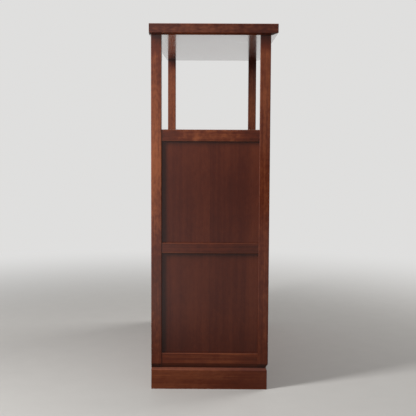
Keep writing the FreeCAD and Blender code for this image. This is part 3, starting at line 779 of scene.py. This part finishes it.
@dataclass
class Carcass:
    """Posts, rails, boards and plinth."""

    # Along each post: its own tone mixed with painted light, and a painted shadow of the top board on the
    # front left post's top.
    posts: dict[str, Cut] = field(default_factory=lambda: {
        "back_left": Cut(0.52, 0.16, 0.30, (Stretch(0.66, 0.35, 0.35), Stretch(0.64, 0.10, 0.16))),
        "front_left": Cut(0.56, 0.16, 0.18, (Stretch(0.80, 0.34, 0.12), Stretch(0.46, 0.16, 0.08),
                                             Stretch(1.01, 0.05, -0.14))),
        "back_right": Cut(0.70, 0.16, 0.24, (Stretch(0.80, 0.40, 0.14),)),
        "front_right": Cut(0.66, 0.16, 0.24, (Stretch(0.82, 0.16, 0.20), Stretch(0.76, 0.05, -0.12)))})
    # Painted shade at the posts' ends: a painted shadow under the top board's overhang, and darker towards
    # the floor.
    post_ends: tuple[Stretch, ...] = (Stretch(1.015, 0.06, -0.30), Stretch(0.063, 0.16, -0.09))
    post_streaks: float = 0.8
    # The posts' arrises get less of the wear and painted highlight.
    post_rub: float = 0.06
    # Top rails: a painted sheen, bright in the middle and dark at the front end; middle rails: painted light
    # around 0.15 m,
    # which on the side rails is towards +Y, where the window lamp is; bottom rails: lighter in the middle.
    rails: dict[str, Cut] = field(default_factory=lambda: {
        "top": Cut(0.42, 0.42, 0.28, (Stretch(0.01, 0.11, 0.24), Stretch(-0.06, 0.04, 0.12),
                                      Stretch(-0.12, 0.05, -0.20))),
        "middle": Cut(0.24, 0.10, 0.16, (Stretch(0.15, 0.24, 0.22),)),
        "bottom": Cut(0.48, 0.08, 0.10, (Stretch(0.0, 0.14, 0.18),))})
    # Painted shade in the recess where the carcass meets the plinth.
    painted_foot_shade: Stretch = Stretch(0.063, 0.014, -0.35)
    plinth_tone: float = 0.48
    plinth_streaks: float = 0.45
    # Painted light: each plinth board is lighter around 0.15 m along it, on the sides towards +Y, where the
    # window lamp is.
    plinth_light: Stretch = Stretch(0.15, 0.24, 0.17)
    muntin_tone: float = 0.46
    board_tone: float = 0.74
    board_figure: float = 0.22
    board_curl: float = 0.34
    board_lean: float = 0.12
    board_streaks: float = 1.2
    board_streak_change: float = 5.0
    board_calm: float = 0.75
    plank_variety: float = 0.5
    shelf_plank: float = 0.10
    top_plank: float = 0.125
    cleat_joint: float = 0.428

    def dress(self) -> None:
        """Give every fixed piece its wood."""
        self.dress_posts()
        self.dress_rails()
        self.dress_plinth()
        for bay in BAYS:
            board = Board(Grain.HEIGHT_FACING_FRONT, self.muntin_tone)
            dress_timber(f"front_muntin_{bay}", FRAME_LACQUER, board)
        self.dress_boards()

    def dress_posts(self) -> None:
        """Give the four posts their wood, with painted shade at the ends."""
        for corner, cut in self.posts.items():
            board = Board(Grain.HEIGHT_FACING_SIDE, cut.tone, streaks=self.post_streaks, figure=cut.figure,
                          curl=cut.curl, edge_wear_and_highlight=self.post_rub,
                          stretches=(*cut.stretches, self.painted_foot_shade, *self.post_ends))
            dress_timber(f"post_{corner}", FRAME_LACQUER, board)

    def dress_rails(self) -> None:
        """Give the rails on all four sides their wood, with painted light along them and painted shade above
        the plinth.
        """
        for level, cut in self.rails.items():
            grains = {f"{end}_rail_{level}": Grain.WIDTH_UPRIGHT for end in ENDS}
            grains.update({f"side_rail_{level}_{side}": Grain.DEPTH_UPRIGHT for side in SIDES})
            for node, grain in grains.items():
                board = Board(grain, cut.tone, figure=cut.figure, curl=cut.curl, stretches=cut.stretches,
                              strips=(self.painted_foot_shade,))
                dress_timber(node, FRAME_LACQUER, board)

    def dress_plinth(self) -> None:
        """Give the four plinth boards their wood, with painted light on them."""
        grains = {end: Grain.WIDTH_UPRIGHT for end in ENDS}
        grains.update({side: Grain.DEPTH_UPRIGHT for side in SIDES})
        for place, grain in grains.items():
            board = Board(grain, self.plinth_tone, streaks=self.plinth_streaks,
                          stretches=(self.plinth_light,))
            dress_timber(f"plinth_{place}", FRAME_LACQUER, board)

    def dress_boards(self) -> None:
        """Give the top board, with its cleats across the ends, and the shelves their wood."""
        board = Board(Grain.DEPTH, self.board_tone, self.top_plank, self.plank_variety,
                      streaks=self.board_streaks, streak_change=self.board_streak_change,
                      lean=self.board_lean, figure=self.board_figure, curl=self.board_curl,
                      frame_edges=(-self.cleat_joint, self.cleat_joint), field_calm=self.board_calm)
        dress_timber("top_board", BOARD_LACQUER, board)
        for node in ("display_shelf", "middle_shelf", "bottom_board"):
            board = Board(Grain.WIDTH, self.board_tone, self.shelf_plank, self.plank_variety)
            dress_timber(node, BOARD_LACQUER, board)


@dataclass
class Panels:
    """Fixed panels, edge-joined from planks."""

    side_plank: float = 0.1455
    back_plank: float = 0.224
    tone: float = 0.56
    variety: float = 0.45
    side_tones: dict[str, Pair] = field(default_factory=lambda: {
        "upper": (-0.05, 0.06), "lower": (0.12, 0.08)})
    # A painted reflection of the front post near the front edge of both tiers;
    # on the lower tier also a painted shadow of the back post near the back edge.
    side_painted_strips: dict[str, tuple[Stretch, ...]] = field(default_factory=lambda: {
        "upper": (Stretch(-0.125, 0.04, 0.26),),
        "lower": (Stretch(-0.125, 0.035, 0.12), Stretch(0.130, 0.022, -0.10))})
    # Upper side panels lighter near the top; lower side panels darker towards the bottom as painted shade.
    side_stretches: dict[str, Stretch] = field(default_factory=lambda: {
        "upper": Stretch(0.70, 0.12, 0.08), "lower": Stretch(0.106, 0.10, -0.16)})

    def dress(self) -> None:
        """Give the side, front and back panels their wood, with painted light and shade on the side panels.
        """
        front = Board(Grain.HEIGHT_FACING_FRONT, self.tone)
        back = Board(Grain.HEIGHT_FACING_FRONT, self.tone, self.back_plank, self.variety)
        for tier in TIERS:
            flank = Board(Grain.HEIGHT_FACING_SIDE, self.tone, self.side_plank,
                          plank_tones=self.side_tones[tier], stretches=(self.side_stretches[tier],),
                          strips=self.side_painted_strips[tier])
            for side in SIDES:
                dress_timber(f"side_panel_{tier}_{side}", PANEL_LACQUER, flank)
                dress_timber(f"front_panel_{tier}_{side}", PANEL_LACQUER, front)
            dress_timber(f"back_panel_{tier}", PANEL_LACQUER, back)


@dataclass
class Doors:
    """Framed doors with their hinges and ring pulls."""

    stile_width: float = 0.034
    frame_tone: float = 0.48
    panel_tone: float = 0.52
    hinge_axis: float = 0.20525
    leaf_height: float = 0.045
    metal_thick: float = 0.0015
    leaf_nails: tuple[Pair, ...] = ((0.0085, 0.0155), (0.0085, -0.0155), (0.0155, 0.0))
    plate_nail_reach: float = 0.0107
    nail: DomeNail = field(default_factory=DomeNail)
    small_nail: DomeNail = field(default_factory=lambda: DomeNail(radius=0.0012, height=0.0007))

    def dress(self, brass: bpy.types.Material) -> None:
        """Give frames and panels their wood and the fittings their metal.

        Args:
            brass: The metal of the fittings.
        """
        panel = Board(Grain.HEIGHT_FACING_FRONT, self.panel_tone)
        for bay in BAYS:
            low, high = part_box(f"door_frame_{bay}")
            inner = (low.x + self.stile_width, high.x - self.stile_width)
            framing = Board(Grain.HEIGHT_FACING_FRONT, self.frame_tone, frame_edges=inner)
            dress_timber(f"door_frame_{bay}", FRAME_LACQUER, framing)
            dress_timber(f"door_panel_{bay}", PANEL_LACQUER, panel)
            for part in ("hinge_door_leaves", "pull_plate", "pull_ring"):
                dress(f"{part}_{bay}", brass)
        dress("hinge_fixed_leaves", brass)
        dress("hinge_pins", brass)

    def leaf_places(self, bay: str, outward: int) -> list[Triple]:
        """Where nails go on the two leaves on one side of a door's hinges.

        Args:
            bay: The door's bay.
            outward: 1 for the side that lies towards +X of the pin, -1 for the other.

        Returns:
            Places on the faces of the leaves.
        """
        low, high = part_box(f"hinge_door_leaves_{bay}")
        pin = math.copysign(self.hinge_axis, low.x + high.x)
        heights = (low.z + self.leaf_height / 2, high.z - self.leaf_height / 2)
        return [(pin + outward * across, self.metal_face(bay), middle + up)
                for middle in heights for across, up in self.leaf_nails]

    def plate_places(self, bay: str) -> list[Triple]:
        """Where nails go round a pull's plate.

        Args:
            bay: The door's bay.

        Returns:
            Places on the face of the plate.
        """
        low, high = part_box(f"pull_plate_{bay}")
        middle = (low + high) / 2
        reach = self.plate_nail_reach * math.sqrt(0.5)
        return [(middle.x + across * reach, self.metal_face(bay), middle.z + up * reach)
                for across in (-1, 1) for up in (-1, 1)]

    def metal_face(self, bay: str) -> float:
        """Where the faces of a door's leaves and plate lie, which all have one thickness."""
        _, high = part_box(f"pull_plate_{bay}")
        return high.y - self.metal_thick

    def nail_on(self, brass: bpy.types.Material) -> None:
        """Nail the hinge leaves to the muntins and doors, and the pull plates to the doors.

        Args:
            brass: The nails' metal.
        """
        fixed: list[Triple] = []
        for bay in BAYS:
            outward = 1 if bay.endswith("left") else -1
            self.nail.drive(f"hinge_nails_{bay}", self.leaf_places(bay, outward), f"door_{bay}", brass)
            self.small_nail.drive(f"pull_nails_{bay}", self.plate_places(bay), f"door_{bay}", brass)
            fixed += self.leaf_places(bay, -outward)
        self.nail.drive("hinge_nails_fixed", fixed, "carcass", brass)


# Studio

@dataclass
class SoftLight:
    """One large lamp that points at the cabinet."""

    name: str
    direction: Triple
    target: Triple
    distance: float
    width: float
    height: float
    power: float

    def hang(self) -> None:
        """Add the lamp, facing its target."""
        lamp = bpy.data.lights.new(self.name, "AREA")
        lamp.shape = "RECTANGLE"
        lamp.size = self.width
        lamp.size_y = self.height
        lamp.energy = self.power
        holder = bpy.data.objects.new(self.name, lamp)
        aim = Vector(self.direction).normalized()
        holder.location = Vector(self.target) + aim * self.distance
        holder.visible_camera = False
        holder.visible_glossy = False
        holder.rotation_euler = aim.to_track_quat("Z", "Y").to_euler()
        bpy.context.scene.collection.objects.link(holder)


@dataclass
class Studio:
    """Pale floor, soft light and the camera; a mirror value is how bright the room looks in lacquer."""

    camera_place: Triple = (-2.982675, -0.005581, 0.755)
    yaw: float = 0.007655
    pitch: float = 0.08977
    roll: float = 0.0045
    lens: float = 76.6686
    sensor: float = 36.0
    background: float = 0.74
    room_mirror: Pair = (0.24, 0.85)
    far_floor_mirror: Pair = (0.03, 0.74)
    near_floor_mirror: Pair = (0.33, 0.66)
    ceiling_mirror: float = 0.45
    ceiling_from: Pair = (0.40, 0.75)
    behind_from: Pair = (-0.45, 0.45)
    window_from: Pair = (-0.02, 0.14)
    ambient: float = 0.26
    tint: Colour = (1.0, 0.995, 0.985)
    floor_colour: Colour = (0.60, 0.585, 0.56)
    floor_bounce: Colour = (0.16, 0.145, 0.125)
    floor_size: float = 60.0
    floor_roughness: float = 0.6
    floor_specular: float = 0.2
    speck_scale: float = 14.0
    speck_detail: float = 3.0
    speck_shade: float = 0.94
    floor_fade: Pair = (0.7, 2.6)
    mirror_fade: Pair = (0.75, 1.9)
    mirror_far: Pair = (3.5, 7.0)
    lamps: tuple[SoftLight, ...] = (
        SoftLight("window", (-0.463, 0.787, 0.55), (-0.468, 0.0, 0.72), 1.7, 0.35, 1.3, 36.0),
        SoftLight("front_fill", (0.50, -0.78, 0.38), (0.0, 0.0, 0.52), 4.0, 2.2, 2.2, 90.0),
    )

    def build(self) -> None:
        """Set up the world, the floor, the lamps and the camera."""
        bpy.context.scene.view_settings.view_transform = "Standard"
        self.paint_world()
        self.lay_floor()
        for lamp in self.lamps:
            lamp.hang()
        self.aim_camera()

    def mirror_level(self, x: Flow, y: Flow, levels: Pair) -> Flow:
        """How bright the room is in reflections: pale behind the cabinet and beside the window, else darker.

        Args:
            x: Share of the direction that runs along X.
            y: Share of the direction that runs along Y.
            levels: The level away from the window and the level beside it.

        Returns:
            The level in that direction.
        """
        dark, bright = levels
        behind = x.smooth_step(*self.behind_from)
        window_side = y.smooth_step(*self.window_from)
        room = dark + window_side * (bright - dark)
        return room + behind * (self.background - room)

    def paint_world(self) -> None:
        """Show a pale background to the camera, the room to reflections, and soft light to the rest."""
        graph = Graph.world("studio")
        direction = graph.place("Generated")
        room = self.mirror_level(direction["x"], direction["y"], self.room_mirror)
        mirrored = room + direction["z"].smooth_step(*self.ceiling_from) * (self.ceiling_mirror - room)
        shiny = graph.maths("MAXIMUM", graph.ray("Glossy"), graph.ray("Transmission"))
        camera = graph.ray("Camera")
        level = camera * self.background + (1 - camera) * (self.ambient + shiny * (mirrored - self.ambient))
        sky = graph.add("ShaderNodeBackground", None, {"Color": graph.blend(level, BLACK, self.tint)})
        graph.close(sky)
        bpy.context.scene.world = graph.owner

    def lay_floor(self) -> None:
        """Lay a pale floor that fades into the background far from the cabinet."""
        deselect_all()
        bpy.ops.mesh.primitive_plane_add(size=self.floor_size, location=(0, 0, 0))
        floor = bpy.context.object
        floor.name = "floor"
        graph = Graph.material("pale_floor")
        point = graph.place()
        distance = graph.maths("SQRT", point["x"] * point["x"] + point["y"] * point["y"])
        camera = graph.ray("Camera")
        glossy = graph.ray("Glossy")
        far = (camera * distance.smooth_step(*self.floor_fade)
               + glossy * distance.smooth_step(*self.mirror_fade))
        speck = graph.noise([point[letter] * self.speck_scale for letter in "xyz"], self.speck_detail)
        darker = tuple(part * self.speck_shade for part in self.floor_colour)
        paint = graph.blend(speck, self.floor_colour, darker)
        matt = graph.add("ShaderNodeBsdfPrincipled", None, {
            "Base Color": graph.blend(camera, self.floor_bounce, paint),
            "Roughness": self.floor_roughness,
            "Specular IOR Level": self.floor_specular})
        heading = point["x"] / distance, point["y"] / distance
        near_level = self.mirror_level(*heading, self.near_floor_mirror)
        far_level = self.mirror_level(*heading, self.far_floor_mirror)
        mirrored = near_level + distance.smooth_step(*self.mirror_far) * (far_level - near_level)
        level = mirrored + camera * (self.background - mirrored)
        glow = graph.add("ShaderNodeEmission", None, {"Color": graph.blend(level, BLACK, self.tint)})
        shaders = {0: far, 1: matt.outputs[0], 2: glow.outputs[0]}
        graph.close(graph.add("ShaderNodeMixShader", None, shaders))
        floor.data.materials.append(graph.owner)

    def aim_camera(self) -> None:
        """Stand the camera where the photograph was taken."""
        lens = bpy.data.cameras.new("camera")
        lens.sensor_width = self.sensor
        lens.lens = self.lens
        camera = bpy.data.objects.new("camera", lens)
        bpy.context.scene.collection.objects.link(camera)
        level = Vector((math.cos(self.yaw), math.sin(self.yaw), 0))
        right = Vector((math.sin(self.yaw), -math.cos(self.yaw), 0))
        up = Vector((0, 0, 1))
        ahead = level * math.cos(self.pitch) - up * math.sin(self.pitch)
        upward = up * math.cos(self.pitch) + level * math.sin(self.pitch)
        tilted_right = right * math.cos(self.roll) + upward * math.sin(self.roll)
        tilted_up = upward * math.cos(self.roll) - right * math.sin(self.roll)
        turn = Matrix((tilted_right, tilted_up, -ahead)).transposed()
        camera.matrix_world = Matrix.Translation(self.camera_place) @ turn.to_4x4()
        bpy.context.scene.camera = camera


def main() -> None:
    """Dress every piece of the cabinet and set up the studio."""
    logging.basicConfig(level=logging.INFO, format="%(name)s: %(message)s")
    brass = AgedBrass().material()
    Carcass().dress()
    Panels().dress()
    doors = Doors()
    doors.dress(brass)
    doors.nail_on(brass)
    Studio().build()


if __name__ == "__main__":
    main()
